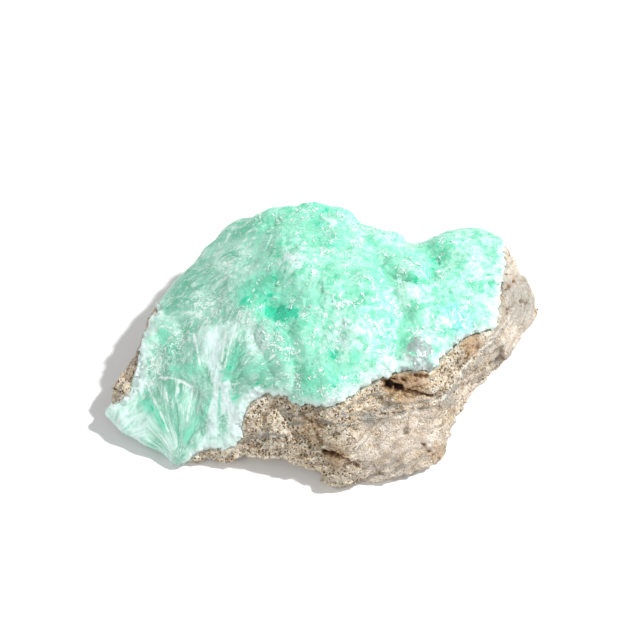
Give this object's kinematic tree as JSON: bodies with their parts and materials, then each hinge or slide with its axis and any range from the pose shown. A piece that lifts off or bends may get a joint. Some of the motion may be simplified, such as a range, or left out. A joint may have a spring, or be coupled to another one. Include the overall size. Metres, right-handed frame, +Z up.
{
  "type": "smithsonite specimen",
  "caption": "Cabinet mineral specimen: a lumpy mint green smithsonite crust over a broken block of tan granular dolomite, resting on a flat underside.",
  "frame": {"origin": "centre of the specimen's outline seen from above, at the flat underside that it rests on", "axes": "+Z up, +X along the specimen's length towards its thick right end, -Y towards its front, which shows the bare stone"},
  "size_m": [0.0932, 0.065, 0.0283],
  "materials": {
    "granular_dolomite": "dull sugary tan stone of small grains with dark specks, grey bands and brown crevices",
    "smithsonite": "waxy to glassy, translucent mint green mineral with white fans of fibres and a sparkling druse"
  },
  "bodies": {
    "root": {"host_rock": "granular_dolomite", "smithsonite_crust": "smithsonite"}
  },
  "joints": []
}
